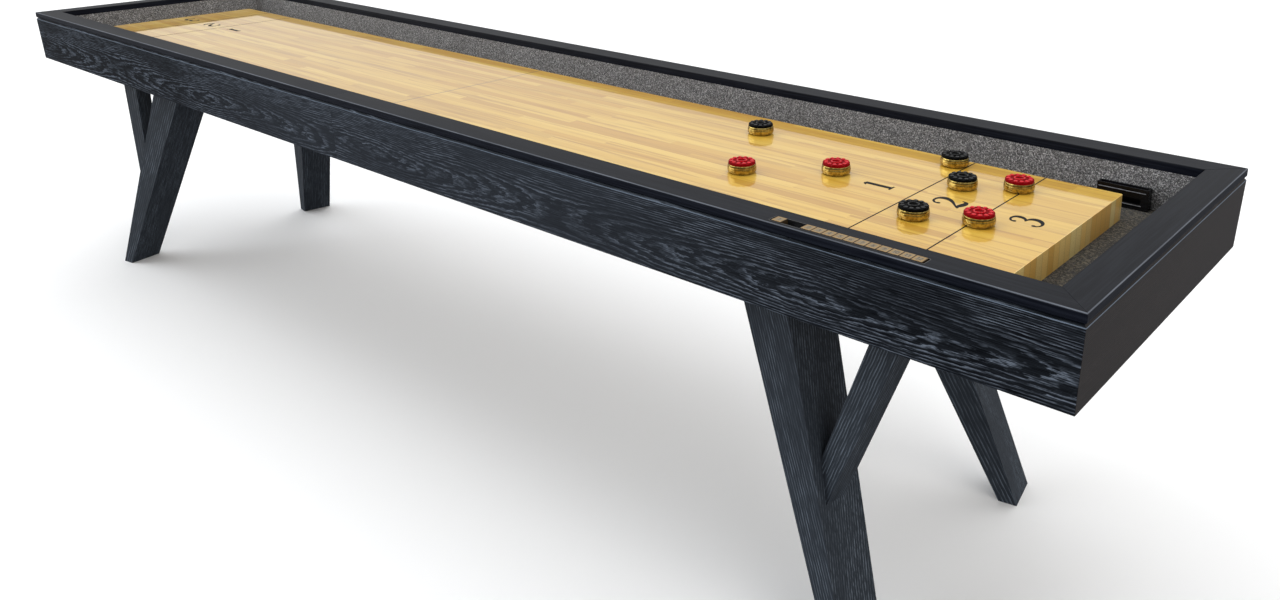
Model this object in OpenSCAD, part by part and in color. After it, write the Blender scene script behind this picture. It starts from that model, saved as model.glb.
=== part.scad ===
// Shuffleboard table with tapered timber legs, carpeted gutters and a butcher-block playfield.
// Millimetres. X runs along the table, Y across it, Z up. The origin is on the floor, under
// the centre of the cabinet. The scorer is in the front (-Y) rail near the +X end.

/* [Cabinet] */
// Overall length over the top rails
table_len = 3658; // [2700:1:6800]
// Overall width over the top rails
table_wid = 800; // [700:1:900]
// Floor to the top of the rails
rail_h = 822; // [740:1:860]
// Width of each top rail
rail_w = 61; // [45:1:90]
// Thickness of each top rail
rail_t = 19; // [12:1:30]
// Height of the cabinet from its lower edge to the rail top
cabinet_h = 158; // [120:1:240]
// How far the apron's lower edge is set in from its top
apron_in = 6; // [0:1:30]
// Thickness of the apron's lower skirt
skirt_t = 18; // [15:1:28]
// Size of the V groove between the rail and the apron
groove = 4; // [1:0.5:6]

/* [Playfield] */
// Length of the playfield
field_len = 3302; // [2400:1:6400]
// Width of the playfield
field_wid = 500; // [400:1:560]
// Thickness of the playfield
field_t = 51; // [38:1:80]
// Drop from the rail top to the playing surface
field_drop = 51; // [30:1:80]
// Depth of each scoring zone
zone = 152.4; // [120:0.1:160]
// Height of the zone numerals
digit_h = 66; // [40:1:90]

/* [Gutters] */
// Thickness of the carpet on the gutter floor and walls
carpet_t = 4; // [2:0.5:6]
// Thickness of the deck panels
deck_t = 12; // [9:1:20]

/* [Legs] */
// Distance of the leg tops from the centre, along the table
leg_x = 1187; // [900:1:1500]
// Distance of the leg tops from the centre, across the table
leg_y = 208; // [180:1:240]
// Angle in plan between a leg's plane and the long side
leg_turn = 10; // [0:0.5:30]
// How far the foot stands out from the leg's top, in the leg's plane
leg_splay = 285; // [100:1:300]
// How far the foot stands out from the leg's top, square to the leg's plane
leg_lean = 66; // [0:1:80]
// Width of a leg at the cabinet's lower edge
leg_top_w = 132; // [120:1:160]
// Width of a leg at the floor
leg_foot_w = 41; // [36:1:60]
// Thickness of a leg at the top
leg_top_t = 117; // [80:1:120]
// Thickness of a leg at the floor
leg_foot_t = 97; // [60:1:110]
// Thickness of a brace
brace_t = 47; // [30:1:60]
// Width of a brace at the cabinet's lower edge
brace_w = 65; // [40:1:80]
// Where a brace meets the cabinet, measured from the leg's top
brace_s = 265; // [250:1:310]
// Height where the upper edge of a brace meets its leg
brace_hi = 356; // [320:1:420]
// Height where the lower edge of a brace meets its leg
brace_lo = 281; // [220:1:310]
// Offset of a brace's top from the leg's plane, towards the table's long axis
brace_in = 10; // [0:1:20]
// Offset of a brace's lower end from the leg's middle, towards the long side
brace_out = 10; // [-10:1:20]

/* [Scorer] */
// Distance of the scorer slot from the table's centre
slot_x = 1296; // [900:1:1400]
// Distance of the scorer's middle line from the outer edge of the rail
slot_y = 20; // [16:0.5:40]
// Width of a score tile
tile_w = 20.4; // [16:0.1:24]
// Length of a score tile along the slot
tile_l = 19.6; // [16:0.1:24]
// Spacing of the score tiles in the row
tile_p = 20; // [16.5:0.1:25]
// Score tiles in the row at the slot's end
row_n = 11; // [5:1:20]
// Clearance around a tile
tile_gap = 0.3; // [0.3:0.05:0.6]

/* [Holder] */
// Distance of the accessory holder from the table's centre
holder_x = 1627; // [1400:1:1700]
// Length of the accessory holder along the gutter wall
holder_l = 102; // [60:1:160]
// Depth of the accessory holder off the wall
holder_w = 20; // [14:1:40]
// Height of the accessory holder
holder_h = 44; // [25:1:60]

/* [Pucks] */
// Diameter of a puck
puck_d = 58.7; // [50:0.1:65]
// Height of a puck
puck_h = 25.4; // [20:0.2:28]
// Gap under a puck
puck_lift = 0.5; // [0.4:0.1:1]

/* [Hidden] */
$fn = 64;
eps = 0.01;
hl = table_len/2;
hw = table_wid/2;
cap_z = rail_h - rail_t;
cab_z = rail_h - cabinet_h;
field_z = rail_h - field_drop;
floor_z = field_z - field_t;
deck_z = floor_z - carpet_t;
board_t = 28;
leg_z = deck_z - deck_t - board_t;
wall_in = rail_w - carpet_t;
fhl = field_len/2;
fhw = field_wid/2;
mitre = hl - hw;
skirt_at_deck = apron_in*(cap_z - deck_z)/(cap_z - cab_z);
slot_end = slot_x + (row_n + 3)*tile_p + 4.2;
track_w = tile_w + 2*tile_gap + 3;
track_h = 13;
tile_y = -hw + slot_y;
row_x = slot_end - 3.2;
adj_x = [380, 900];

// Plan positions of the pucks: x, y
red_at = [[1010, -102], [1160, 12], [1511, -68], [1488, 147]];
black_at = [[869, 143], [1319, 210], [1397, 92], [1405, -110]];

// ---- helpers ----

// The part of the plan that belongs to the long side at +Y, in the half at +X
module side_region() {
    translate([0, 0, cab_z - 10]) linear_extrude(cabinet_h + 20)
        polygon([[0, 0], [mitre, 0], [mitre + hw + 60, hw + 60], [0, hw + 60]]);
}

// The part of the plan that belongs to the end at +X
module end_region() {
    translate([0, 0, cab_z - 10]) linear_extrude(cabinet_h + 20)
        polygon([[mitre, 0], [mitre + hw + 60, -hw - 60], [mitre + hw + 60, hw + 60]]);
}

// A profile in (outward, up) drawn along the long side at +Y
module along_side() {
    rotate([90, 0, 90]) linear_extrude(hl + 60) translate([hw, 0]) children();
}

// The same profile drawn along the end at +X
module along_end() {
    translate([0, hw + 60, 0]) rotate([90, 0, 0]) linear_extrude(2*hw + 120)
        translate([hl, 0]) children();
}

// Section of the apron: thick beside the gutter, a thin skirt below the deck
module apron_2d() {
    polygon([[-groove, cap_z], [-wall_in, cap_z], [-wall_in, deck_z],
        [-skirt_at_deck - skirt_t, deck_z], [-apron_in - skirt_t, cab_z],
        [-apron_in, cab_z], [-apron_in*groove/(cap_z - cab_z), cap_z - groove]]);
}

// Section of the top rail, its outer lower edge bevelled for the V groove
module rail_2d() {
    polygon([[-rail_w, cap_z], [-groove, cap_z], [0, cap_z + groove], [0, rail_h - 1],
        [-1, rail_h], [-rail_w + 1, rail_h], [-rail_w, rail_h - 1]]);
}

module apron_side() { intersection() { along_side() apron_2d(); side_region(); } }
module apron_end() { intersection() { along_end() apron_2d(); end_region(); } }
module rail_side() { intersection() { along_side() rail_2d(); side_region(); } }
module rail_end() { intersection() { along_end() rail_2d(); end_region(); } }

// A rounded rectangle from x0 to x1, of width w
module strip_2d(x0, x1, w, r) {
    translate([x0, -w/2 + r]) square([x1 - x0, w - 2*r]);
    translate([x0 + r, -w/2]) square([x1 - x0 - 2*r, w]);
    for (x = [x0 + r, x1 - r], y = [-w/2 + r, w/2 - r]) translate([x, y]) circle(r);
}

// ---- cabinet ----

module apron_back_right() { color([0.10, 0.11, 0.13]) apron_side(); }
module apron_back_left() { color([0.10, 0.11, 0.13]) mirror([1, 0, 0]) apron_side(); }
module apron_front_right() { color([0.10, 0.11, 0.13]) mirror([0, 1, 0]) apron_side(); }
module apron_front_left() {
    color([0.10, 0.11, 0.13]) mirror([1, 0, 0]) mirror([0, 1, 0]) apron_side();
}
module apron_right() { color([0.12, 0.12, 0.13]) apron_end(); }
module apron_left() { color([0.12, 0.12, 0.13]) mirror([1, 0, 0]) apron_end(); }

module rail_back_right() { color([0.22, 0.22, 0.24]) rail_side(); }
module rail_back_left() { color([0.22, 0.22, 0.24]) mirror([1, 0, 0]) rail_side(); }
module rail_front_left() {
    color([0.22, 0.22, 0.24]) mirror([1, 0, 0]) mirror([0, 1, 0]) rail_side();
}
// The rail that holds the scorer has a pocket for the track
module rail_front_right() {
    color([0.22, 0.22, 0.24]) difference() {
        mirror([0, 1, 0]) rail_side();
        translate([0, tile_y, rail_h - track_h]) linear_extrude(track_h + 5)
            strip_2d(slot_x - 1.5, slot_end + 1.5, track_w, 4);
    }
}
module rail_right() { color([0.22, 0.22, 0.24]) rail_end(); }
module rail_left() { color([0.22, 0.22, 0.24]) mirror([1, 0, 0]) rail_end(); }

// Deck panel with a window over each climate adjuster
module deck() {
    w = hw - skirt_at_deck - skirt_t - 1.5;
    l = hl - skirt_at_deck - skirt_t - 1.5;
    difference() {
        translate([0, -w, deck_z - deck_t]) cube([l, 2*w, deck_t]);
        for (x = adj_x) translate([x - 40, -170, deck_z - deck_t - 1])
            cube([80, 340, deck_t + 2]);
    }
}
module deck_right() { color([0.62, 0.50, 0.34]) deck(); }
module deck_left() { color([0.62, 0.50, 0.34]) mirror([1, 0, 0]) deck(); }

// Carpet on the gutter's floor and walls; its inner edge is tucked under the playfield
module carpet() {
    l = hl - wall_in;
    w = hw - wall_in;
    tuck = 15;
    difference() {
        translate([0, -w, deck_z]) cube([l, 2*w, cap_z - deck_z]);
        translate([-1, -w + carpet_t, floor_z])
            cube([l - carpet_t + 1, 2*(w - carpet_t), cap_z]);
        translate([-1, -fhw + tuck, deck_z - 1]) cube([fhl - tuck + 1, 2*(fhw - tuck), 20]);
    }
}
module carpet_right() { color([0.25, 0.25, 0.27]) carpet(); }
module carpet_left() { color([0.25, 0.25, 0.27]) mirror([1, 0, 0]) carpet(); }

// ---- playfield ----

module field() {
    translate([0, 0, floor_z]) linear_extrude(field_t) difference() {
        translate([0, -fhw]) square([fhl, field_wid]);
        for (s = [-1, 1]) translate([fhl - 4, s*(fhw - 4)]) difference() {
            translate([0, s > 0 ? 0 : -5]) square([5, 5]);
            circle(4);
        }
    }
}
module playfield_right() { color([0.87, 0.68, 0.42]) field(); }
module playfield_left() { color([0.87, 0.68, 0.42]) mirror([1, 0, 0]) field(); }

// An open ring sector of stroke t and middle radius r, from angle a0 to a1
module arc_2d(r, t, a0, a1) {
    n = 8;
    intersection() {
        difference() { circle(r + t/2); circle(r - t/2); }
        polygon(concat([[0, 0]],
            [for (i = [0:n]) let (a = a0 + (a1 - a0)*i/n) [2*r*cos(a), 2*r*sin(a)]]));
    }
}

// Numerals of height h, drawn upright about their centre
module one_2d(h) {
    translate([0, -h/2]) square([0.13*h, h]);
    polygon([[0.02*h, h/2], [-0.17*h, 0.36*h], [-0.17*h, 0.24*h], [0.02*h, 0.36*h]]);
}
module two_2d(h) {
    translate([0, 0.235*h]) arc_2d(0.2*h, 0.13*h, -20, 170);
    polygon([[0.25*h, 0.17*h], [-0.1*h, -0.37*h], [-0.265*h, -0.37*h], [0.13*h, 0.19*h]]);
    translate([-0.265*h, -h/2]) square([0.53*h, 0.132*h]);
}
module three_2d(h) {
    translate([0, 0.23*h]) arc_2d(0.2*h, 0.13*h, -88, 165);
    translate([0, -0.235*h]) arc_2d(0.2*h, 0.13*h, -165, 88);
    translate([-0.08*h, -0.067*h]) square([0.1*h, 0.13*h]);
}

// Zone lines and numerals, laid on the playing surface
module score_marks() {
    color([0.05, 0.05, 0.05]) for (s = [0, 180]) rotate([0, 0, s]) {
        for (k = [1, 2]) translate([fhl - k*zone - 0.8, -fhw + 1, field_z])
            cube([1.6, field_wid - 2, 0.15]);
        for (k = [0:2]) translate([fhl - (k + 0.5)*zone, -4, field_z])
            linear_extrude(0.15) rotate([0, 0, 90])
                if (k == 0) three_2d(digit_h);
                else if (k == 1) two_2d(digit_h);
                else one_2d(digit_h);
    }
}

// ---- under the deck ----

function leg_at(s, k) = [leg_x + s*cos(leg_turn) - k*sin(leg_turn),
    leg_y + s*sin(leg_turn) + k*cos(leg_turn)];

// Where the bolts go down through the boards: two in each leg, one in each brace
bolt_at = [leg_at(-45, 0), leg_at(45, 0), leg_at(brace_s + brace_w/2 + 4, -brace_in)];

// Boards the legs and braces bolt to, and a pair that pulls the two halves together
module cross_boards() {
    w = hw - apron_in - skirt_t - 0.5;
    color([0.55, 0.43, 0.28]) difference() {
        for (m = [0, 1]) mirror([m, 0, 0]) {
            translate([leg_x - 115, -w, leg_z]) cube([485, 2*w, board_t]);
            translate([0.2, -w, leg_z]) cube([41.8, 2*w, board_t]);
        }
        for (mx = [0, 1], my = [0, 1]) mirror([mx, 0, 0]) mirror([0, my, 0])
            for (p = bolt_at) translate([p[0], p[1], leg_z]) {
                translate([0, 0, -1]) cylinder(r = 5.05, h = board_t + 2);
                translate([0, 0, board_t - 8]) cylinder(r = 11, h = 9);
            }
        for (y = [-180, 180]) translate([-60, y, leg_z + board_t/2])
            rotate([0, 90, 0]) cylinder(r = 5.05, h = 120);
    }
}

// One hexagon-headed bolt, head at the top, shank downwards
module bolt(l) {
    translate([0, 0, -l]) cylinder(r = 5, h = l + 1);
    cylinder(r = 8.5, h = 6.5, $fn = 6);
}

// Leg, brace and joining bolts
module frame_bolts() {
    color([0.55, 0.56, 0.58]) {
        for (mx = [0, 1], my = [0, 1]) mirror([mx, 0, 0]) mirror([0, my, 0])
            for (p = bolt_at) translate([p[0], p[1], leg_z + board_t - 8]) bolt(70);
        for (y = [-180, 180]) translate([42, y, leg_z + board_t/2]) rotate([0, 90, 0]) {
            bolt(96);
            translate([0, 0, -84 - 8]) cylinder(r = 8.5, h = 8, $fn = 6);
        }
    }
}

// A steel bridge screwed across the underside of the playfield, to set its curve
module adjuster() {
    for (s = [-1, 1]) {
        translate([-25, s*140 - 20, floor_z - 4]) cube([50, 40, 4]);
        translate([-16, s*140 - 4, floor_z - 32]) cube([32, 8, 29]);
    }
    translate([0, 158, floor_z - 20]) rotate([90, 0, 0]) cylinder(r = 6, h = 316);
    translate([0, 35, floor_z - 20]) rotate([90, 0, 0]) cylinder(r = 11, h = 70, $fn = 6);
}
module climate_adjusters() {
    color([0.5, 0.51, 0.53]) for (m = [0, 1], x = adj_x) mirror([m, 0, 0])
        translate([x, 0, 0]) adjuster();
}

// ---- legs ----

// Half sizes of a leg at height z, and where its middle is
function leg_f(z) = (cab_z - z)/cab_z;
function leg_c(z) = leg_splay*leg_f(z);
function leg_h(z) = (leg_top_w + (leg_foot_w - leg_top_w)*leg_f(z))/2;
function leg_k(z) = (leg_top_t + (leg_foot_t - leg_top_t)*leg_f(z))/2;
function leg_d(z) = leg_lean*leg_f(z);
// Offset of a brace's middle from the leg's plane at height z
brace_mid = (brace_hi + brace_lo)/2;
function brace_k(z) = leg_d(brace_mid) + brace_out
    - (leg_d(brace_mid) + brace_out + brace_in)*(z - brace_mid)/(cab_z - brace_mid);

module in_leg_plane() { translate([leg_x, leg_y, 0]) rotate([0, 0, leg_turn]) children(); }

module leg() {
    difference() {
        in_leg_plane() intersection() {
            translate([0, 160, 0]) rotate([90, 0, 0]) linear_extrude(320) polygon([
                [leg_c(0) - leg_h(0), 0], [leg_c(0) + leg_h(0), 0],
                [leg_c(leg_z) + leg_h(leg_z), leg_z], [leg_c(leg_z) - leg_h(leg_z), leg_z]]);
            translate([-150, 0, 0]) rotate([90, 0, 90]) linear_extrude(600) polygon([
                [leg_d(0) - leg_k(0), 0], [leg_d(0) + leg_k(0), 0],
                [leg_d(leg_z) + leg_k(leg_z), leg_z], [leg_d(leg_z) - leg_k(leg_z), leg_z]]);
        }
        for (i = [0, 1]) translate([bolt_at[i][0], bolt_at[i][1], leg_z - 52])
            cylinder(r = 5.05, h = 60);
    }
}

module brace() {
    hi_s = leg_c(brace_hi) + leg_h(brace_hi);
    lo_s = leg_c(brace_lo) + leg_h(brace_lo);
    hi_run = (brace_s - hi_s)*(leg_z - cab_z)/(cab_z - brace_hi);
    lo_run = (brace_s + brace_w - lo_s)*(leg_z - cab_z)/(cab_z - brace_lo);
    z0 = brace_lo - 20;
    half = brace_t/2;
    difference() {
        in_leg_plane() intersection() {
            translate([0, 160, 0]) rotate([90, 0, 0]) linear_extrude(320)
                polygon([[hi_s, brace_hi], [lo_s, brace_lo],
                    [brace_s + brace_w + lo_run, leg_z], [brace_s + hi_run, leg_z]]);
            rotate([90, 0, 90]) linear_extrude(500) polygon([
                [brace_k(z0) - half, z0], [brace_k(z0) + half, z0],
                [brace_k(leg_z) + half, leg_z], [brace_k(leg_z) - half, leg_z]]);
        }
        translate([bolt_at[2][0], bolt_at[2][1], leg_z - 52]) cylinder(r = 5.05, h = 60);
    }
}

module leg_back_right() { color([0.10, 0.11, 0.14]) leg(); }
module leg_back_left() { color([0.10, 0.11, 0.14]) mirror([1, 0, 0]) leg(); }
module leg_front_right() { color([0.10, 0.11, 0.14]) mirror([0, 1, 0]) leg(); }
module leg_front_left() {
    color([0.10, 0.11, 0.14]) mirror([1, 0, 0]) mirror([0, 1, 0]) leg();
}
module brace_back_right() { color([0.10, 0.11, 0.14]) brace(); }
module brace_back_left() { color([0.10, 0.11, 0.14]) mirror([1, 0, 0]) brace(); }
module brace_front_right() { color([0.10, 0.11, 0.14]) mirror([0, 1, 0]) brace(); }
module brace_front_left() {
    color([0.10, 0.11, 0.14]) mirror([1, 0, 0]) mirror([0, 1, 0]) brace();
}

// ---- scorer ----

// Track let into the rail: an opening with two lips over a wider channel
module scorer_track() {
    open_w = tile_w + 2*tile_gap;
    color([0.03, 0.03, 0.03]) translate([0, tile_y, rail_h]) difference() {
        translate([0, 0, -track_h]) linear_extrude(track_h)
            strip_2d(slot_x - 1.5, slot_end + 1.5, track_w, 4);
        translate([0, 0, -4]) linear_extrude(5) strip_2d(slot_x, slot_end, open_w, 2.5);
        translate([0, 0, -10.5]) linear_extrude(8)
            strip_2d(slot_x, slot_end, open_w + 1.4, 2.5);
    }
}

// A wooden score tile whose foot is caught under the track's lips; x is its low end
module tile(x) {
    color([0.80, 0.60, 0.36]) translate([0, tile_y, rail_h]) {
        translate([0, 0, -10.1]) linear_extrude(5.6)
            strip_2d(x, x + tile_l, tile_w + 1.4, 1);
        translate([0, 0, -4.6]) linear_extrude(5.4) strip_2d(x, x + tile_l, tile_w, 1);
    }
}
function row_tile(i) = row_x - (row_n - i)*tile_p - tile_l;
module tile_1() { tile(slot_x + 3.4); }
module tile_2() { tile(row_tile(1)); }
module tile_3() { tile(row_tile(2)); }
module tile_4() { tile(row_tile(3)); }
module tile_5() { tile(row_tile(4)); }
module tile_6() { tile(row_tile(5)); }
module tile_7() { tile(row_tile(6)); }
module tile_8() { tile(row_tile(7)); }
module tile_9() { tile(row_tile(8)); }
module tile_10() { tile(row_tile(9)); }
module tile_11() { tile(row_tile(10)); }
module tile_12() { tile(row_tile(11)); }

// Open-topped gloss holder standing against the back wall of the gutter
module accessory_holder() {
    color([0.02, 0.02, 0.02]) translate([holder_x, hw - rail_w - holder_w/2, floor_z])
        difference() {
            linear_extrude(holder_h) strip_2d(-holder_l/2, holder_l/2, holder_w, 5);
            translate([0, 0, 4]) linear_extrude(holder_h)
                strip_2d(4 - holder_l/2, holder_l/2 - 4, holder_w - 8, 3);
        }
}

// ---- pucks ----

// Polished metal weight with a rounded wall, hollowed on top for the cap
module puck_base(p) {
    r = puck_d/2;
    color([0.78, 0.60, 0.30]) translate([p[0], p[1], field_z + puck_lift])
        rotate_extrude($fn = 96) polygon([[0, 0], [r - 4.2, 0], [r - 2.6, 0.5], [r - 1.2, 2],
            [r - 0.3, 4.6], [r, 7.6], [r - 0.15, 10.6], [r - 0.5, 13.6], [r - 0.95, 16],
            [r - 1.3, 17.2], [r - 1.6, 17.6], [r - 2, 17.6], [r - 2, 14], [0, 14]]);
}

// Moulded cap with a ring of raised lozenges around a raised centre ring
module puck_cap(p) {
    r = puck_d/2 - 2.1;
    translate([p[0], p[1], field_z + puck_lift]) {
        rotate_extrude($fn = 96) polygon([[0, 14], [r, 14], [r, puck_h - 2.8],
            [r - 0.8, puck_h - 1.8], [r - 2.2, puck_h - 1.4], [11.5, puck_h - 1.4],
            [11, puck_h - 0.2], [10.2, puck_h], [8.2, puck_h], [7.4, puck_h - 0.2],
            [7, puck_h - 1.8], [0, puck_h - 1.8]]);
        for (a = [0:30:330]) rotate([0, 0, a]) translate([18.6, 0, puck_h - 1.9])
            cylinder(r = 3.2, h = 1.7, $fn = 32);
    }
}
module red_cap(p) { color([0.62, 0.05, 0.06]) puck_cap(p); }
module black_cap(p) { color([0.03, 0.03, 0.035]) puck_cap(p); }

module puck_red_1_base() { puck_base(red_at[0]); }
module puck_red_1_cap() { red_cap(red_at[0]); }
module puck_red_2_base() { puck_base(red_at[1]); }
module puck_red_2_cap() { red_cap(red_at[1]); }
module puck_red_3_base() { puck_base(red_at[2]); }
module puck_red_3_cap() { red_cap(red_at[2]); }
module puck_red_4_base() { puck_base(red_at[3]); }
module puck_red_4_cap() { red_cap(red_at[3]); }
module puck_black_1_base() { puck_base(black_at[0]); }
module puck_black_1_cap() { black_cap(black_at[0]); }
module puck_black_2_base() { puck_base(black_at[1]); }
module puck_black_2_cap() { black_cap(black_at[1]); }
module puck_black_3_base() { puck_base(black_at[2]); }
module puck_black_3_cap() { black_cap(black_at[2]); }
module puck_black_4_base() { puck_base(black_at[3]); }
module puck_black_4_cap() { black_cap(black_at[3]); }

apron_front_left();
apron_front_right();
apron_back_left();
apron_back_right();
apron_left();
apron_right();
rail_front_left();
rail_front_right();
rail_back_left();
rail_back_right();
rail_left();
rail_right();
deck_left();
deck_right();
carpet_left();
carpet_right();
playfield_left();
playfield_right();
score_marks();
cross_boards();
frame_bolts();
climate_adjusters();
leg_front_left();
leg_front_right();
leg_back_left();
leg_back_right();
brace_front_left();
brace_front_right();
brace_back_left();
brace_back_right();
scorer_track();
accessory_holder();
tile_1();
tile_2();
tile_3();
tile_4();
tile_5();
tile_6();
tile_7();
tile_8();
tile_9();
tile_10();
tile_11();
tile_12();
puck_red_1_base();
puck_red_1_cap();
puck_red_2_base();
puck_red_2_cap();
puck_red_3_base();
puck_red_3_cap();
puck_red_4_base();
puck_red_4_cap();
puck_black_1_base();
puck_black_1_cap();
puck_black_2_base();
puck_black_2_cap();
puck_black_3_base();
puck_black_3_cap();
puck_black_4_base();
puck_black_4_cap();
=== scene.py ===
import math
import bpy
import numpy as np
from mathutils import Matrix, Vector


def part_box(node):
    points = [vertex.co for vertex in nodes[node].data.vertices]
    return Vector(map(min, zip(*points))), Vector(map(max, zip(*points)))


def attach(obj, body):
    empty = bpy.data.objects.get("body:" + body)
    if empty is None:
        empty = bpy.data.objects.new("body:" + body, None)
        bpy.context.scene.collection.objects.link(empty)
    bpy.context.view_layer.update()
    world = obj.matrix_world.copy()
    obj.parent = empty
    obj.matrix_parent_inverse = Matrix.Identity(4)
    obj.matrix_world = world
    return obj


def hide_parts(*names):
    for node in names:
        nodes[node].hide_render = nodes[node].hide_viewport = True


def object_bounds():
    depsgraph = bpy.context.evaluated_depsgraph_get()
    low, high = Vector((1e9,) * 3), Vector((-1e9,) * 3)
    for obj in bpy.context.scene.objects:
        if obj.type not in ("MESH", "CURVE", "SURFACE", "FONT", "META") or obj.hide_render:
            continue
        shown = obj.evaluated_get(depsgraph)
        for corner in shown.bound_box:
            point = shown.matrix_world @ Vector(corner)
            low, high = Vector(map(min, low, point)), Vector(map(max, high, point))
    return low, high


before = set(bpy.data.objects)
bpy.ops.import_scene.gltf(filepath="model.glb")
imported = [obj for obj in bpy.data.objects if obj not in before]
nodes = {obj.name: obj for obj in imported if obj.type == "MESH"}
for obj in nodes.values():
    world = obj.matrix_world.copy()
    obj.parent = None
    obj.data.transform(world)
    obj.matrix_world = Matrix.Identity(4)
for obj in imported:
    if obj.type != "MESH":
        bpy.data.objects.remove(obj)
cad_lo, cad_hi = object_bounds()
scene = bpy.context.scene
scene.view_settings.view_transform = "Standard"

# ---------------------------------------------------------------- camera
CAMERA_AT = Vector((2.2658, -1.6819, 1.4343))
YAW, PITCH, ROLL = 0.67715, 0.26893, 0.00427
fwd = Vector((-math.sin(YAW) * math.cos(PITCH), math.cos(YAW) * math.cos(PITCH), -math.sin(PITCH)))
level_right = Vector((math.cos(YAW), math.sin(YAW), 0))
level_up = level_right.cross(fwd)
cam_right = level_right * math.cos(ROLL) + level_up * math.sin(ROLL)
cam_up = level_up * math.cos(ROLL) - level_right * math.sin(ROLL)
cam_data = bpy.data.cameras.new("camera")
cam = bpy.data.objects.new("camera", cam_data)
scene.collection.objects.link(cam)
cam.matrix_world = Matrix.Translation(CAMERA_AT) @ Matrix((cam_right, cam_up, -fwd)).transposed().to_4x4()
cam_data.sensor_width, cam_data.lens = 36, 29.746
cam_data.shift_x, cam_data.shift_y = -0.0754, -0.1406
cam_data.clip_start, cam_data.clip_end = 0.05, 60
scene.camera = cam


# ---------------------------------------------------------------- node helpers
class Mat:
    """A material and short ways to add nodes to it."""

    def __init__(self, name, rough=0.5, metal=0.0, spec=0.5):
        self.m = bpy.data.materials.new(name)
        self.m.use_nodes = True
        self.t = self.m.node_tree
        self.b = self.t.nodes["Principled BSDF"]
        self.b.inputs["Roughness"].default_value = rough
        self.b.inputs["Metallic"].default_value = metal
        self.b.inputs["Specular IOR Level"].default_value = spec
        self.p = self.add("ShaderNodeTexCoord").outputs["Object"]

    def add(self, kind, **props):
        n = self.t.nodes.new(kind)
        for k, v in props.items():
            setattr(n, k, v)
        return n

    def put(self, socket, value):
        if isinstance(value, bpy.types.NodeSocket):
            self.t.links.new(value, socket)
        elif value is not None:
            socket.default_value = value

    def set(self, name, value):
        self.put(self.b.inputs[name], value)

    def math(self, op, a, b=None, clamp=False):
        n = self.add("ShaderNodeMath", operation=op, use_clamp=clamp)
        for s, v in zip(n.inputs, (a, b)):
            self.put(s, v)
        return n.outputs[0]

    def plus(self, a, b, clamp=False):
        return self.math("ADD", a, b, clamp)

    def less(self, a, b):
        return self.math("SUBTRACT", a, b)

    def mul(self, a, b):
        return self.math("MULTIPLY", a, b)

    def over(self, a, b):
        return self.math("DIVIDE", a, b)

    def size(self, a):
        return self.math("ABSOLUTE", a)

    def vmath(self, op, a, b):
        n = self.add("ShaderNodeVectorMath", operation=op)
        self.put(n.inputs[0], a)
        self.put(n.inputs[1], b)
        return n.outputs["Value" if op == "DOT_PRODUCT" else "Vector"]

    def xyz(self, v):
        n = self.add("ShaderNodeSeparateXYZ")
        self.put(n.inputs[0], v)
        return n.outputs

    def vec(self, x, y, z):
        n = self.add("ShaderNodeCombineXYZ")
        for s, v in zip(n.inputs, (x, y, z)):
            self.put(s, v)
        return n.outputs[0]

    def noise(self, v, scale=1.0, detail=2.0, rough=0.5, dist=0.0):
        n = self.add("ShaderNodeTexNoise")
        self.put(n.inputs["Vector"], v)
        for k, x in (("Scale", scale), ("Detail", detail), ("Roughness", rough), ("Distortion", dist)):
            n.inputs[k].default_value = x
        return n.outputs["Fac"]

    def grain(self, axes, scales, detail=2.0, rough=0.5, dist=0.0):
        """Noise with a scale of its own along each of three axes."""
        v = self.vec(*(self.mul(c, k) for c, k in zip(axes, scales)))
        return self.noise(v, 1.0, detail, rough, dist)

    def white(self, v):
        n = self.add("ShaderNodeTexWhiteNoise", noise_dimensions="3D")
        self.put(n.inputs["Vector"], v)
        return n.outputs["Value"]

    def cells(self, v, scale, out="Distance"):
        n = self.add("ShaderNodeTexVoronoi")
        self.put(n.inputs["Vector"], v)
        n.inputs["Scale"].default_value = scale
        return n.outputs[out]

    def ramp(self, f, *stops, smooth=True):
        n = self.add("ShaderNodeValToRGB")
        e = n.color_ramp.elements
        n.color_ramp.interpolation = "EASE" if smooth else "LINEAR"
        while len(e) < len(stops):
            e.new(0.5)
        for el, (at, c) in zip(e, stops):
            el.position = at
            el.color = (c, c, c, 1) if isinstance(c, (int, float)) else (*c, 1)
        self.put(n.inputs[0], f)
        return n.outputs["Color"]

    def step(self, v, a, b):
        """0 below a, 1 above b, smooth between them."""
        n = self.add("ShaderNodeMapRange", interpolation_type="SMOOTHSTEP")
        self.put(n.inputs["Value"], v)
        n.inputs["From Min"].default_value, n.inputs["From Max"].default_value = a, b
        return n.outputs[0]

    def below(self, v, a, b):
        """1 below a, 0 above b, smooth between them."""
        return self.less(1.0, self.step(v, a, b))

    def mix(self, f, a, b):
        n = self.add("ShaderNodeMix", data_type="RGBA")
        self.put(n.inputs[0], f)
        for s, v in ((n.inputs[6], a), (n.inputs[7], b)):
            self.put(s, (*v, 1) if isinstance(v, tuple) else v)
        return n.outputs[2]

    def bump(self, h, dist, strength=1.0):
        n = self.add("ShaderNodeBump")
        n.inputs["Strength"].default_value = strength
        n.inputs["Distance"].default_value = dist
        self.put(n.inputs["Height"], h)
        self.put(self.b.inputs["Normal"], n.outputs[0])

    def along(self, p, direction):
        """Place along the grain, across it and through the board, for grain that runs in this direction."""
        a = Vector(direction).normalized()
        side = Vector((0, 0, 1)) if abs(a.z) < 0.7 else Vector((0, 1, 0))
        side = (side - a * side.dot(a)).normalized()
        return [self.vmath("DOT_PRODUCT", p, tuple(x)) for x in (a, side, a.cross(side))]


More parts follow.
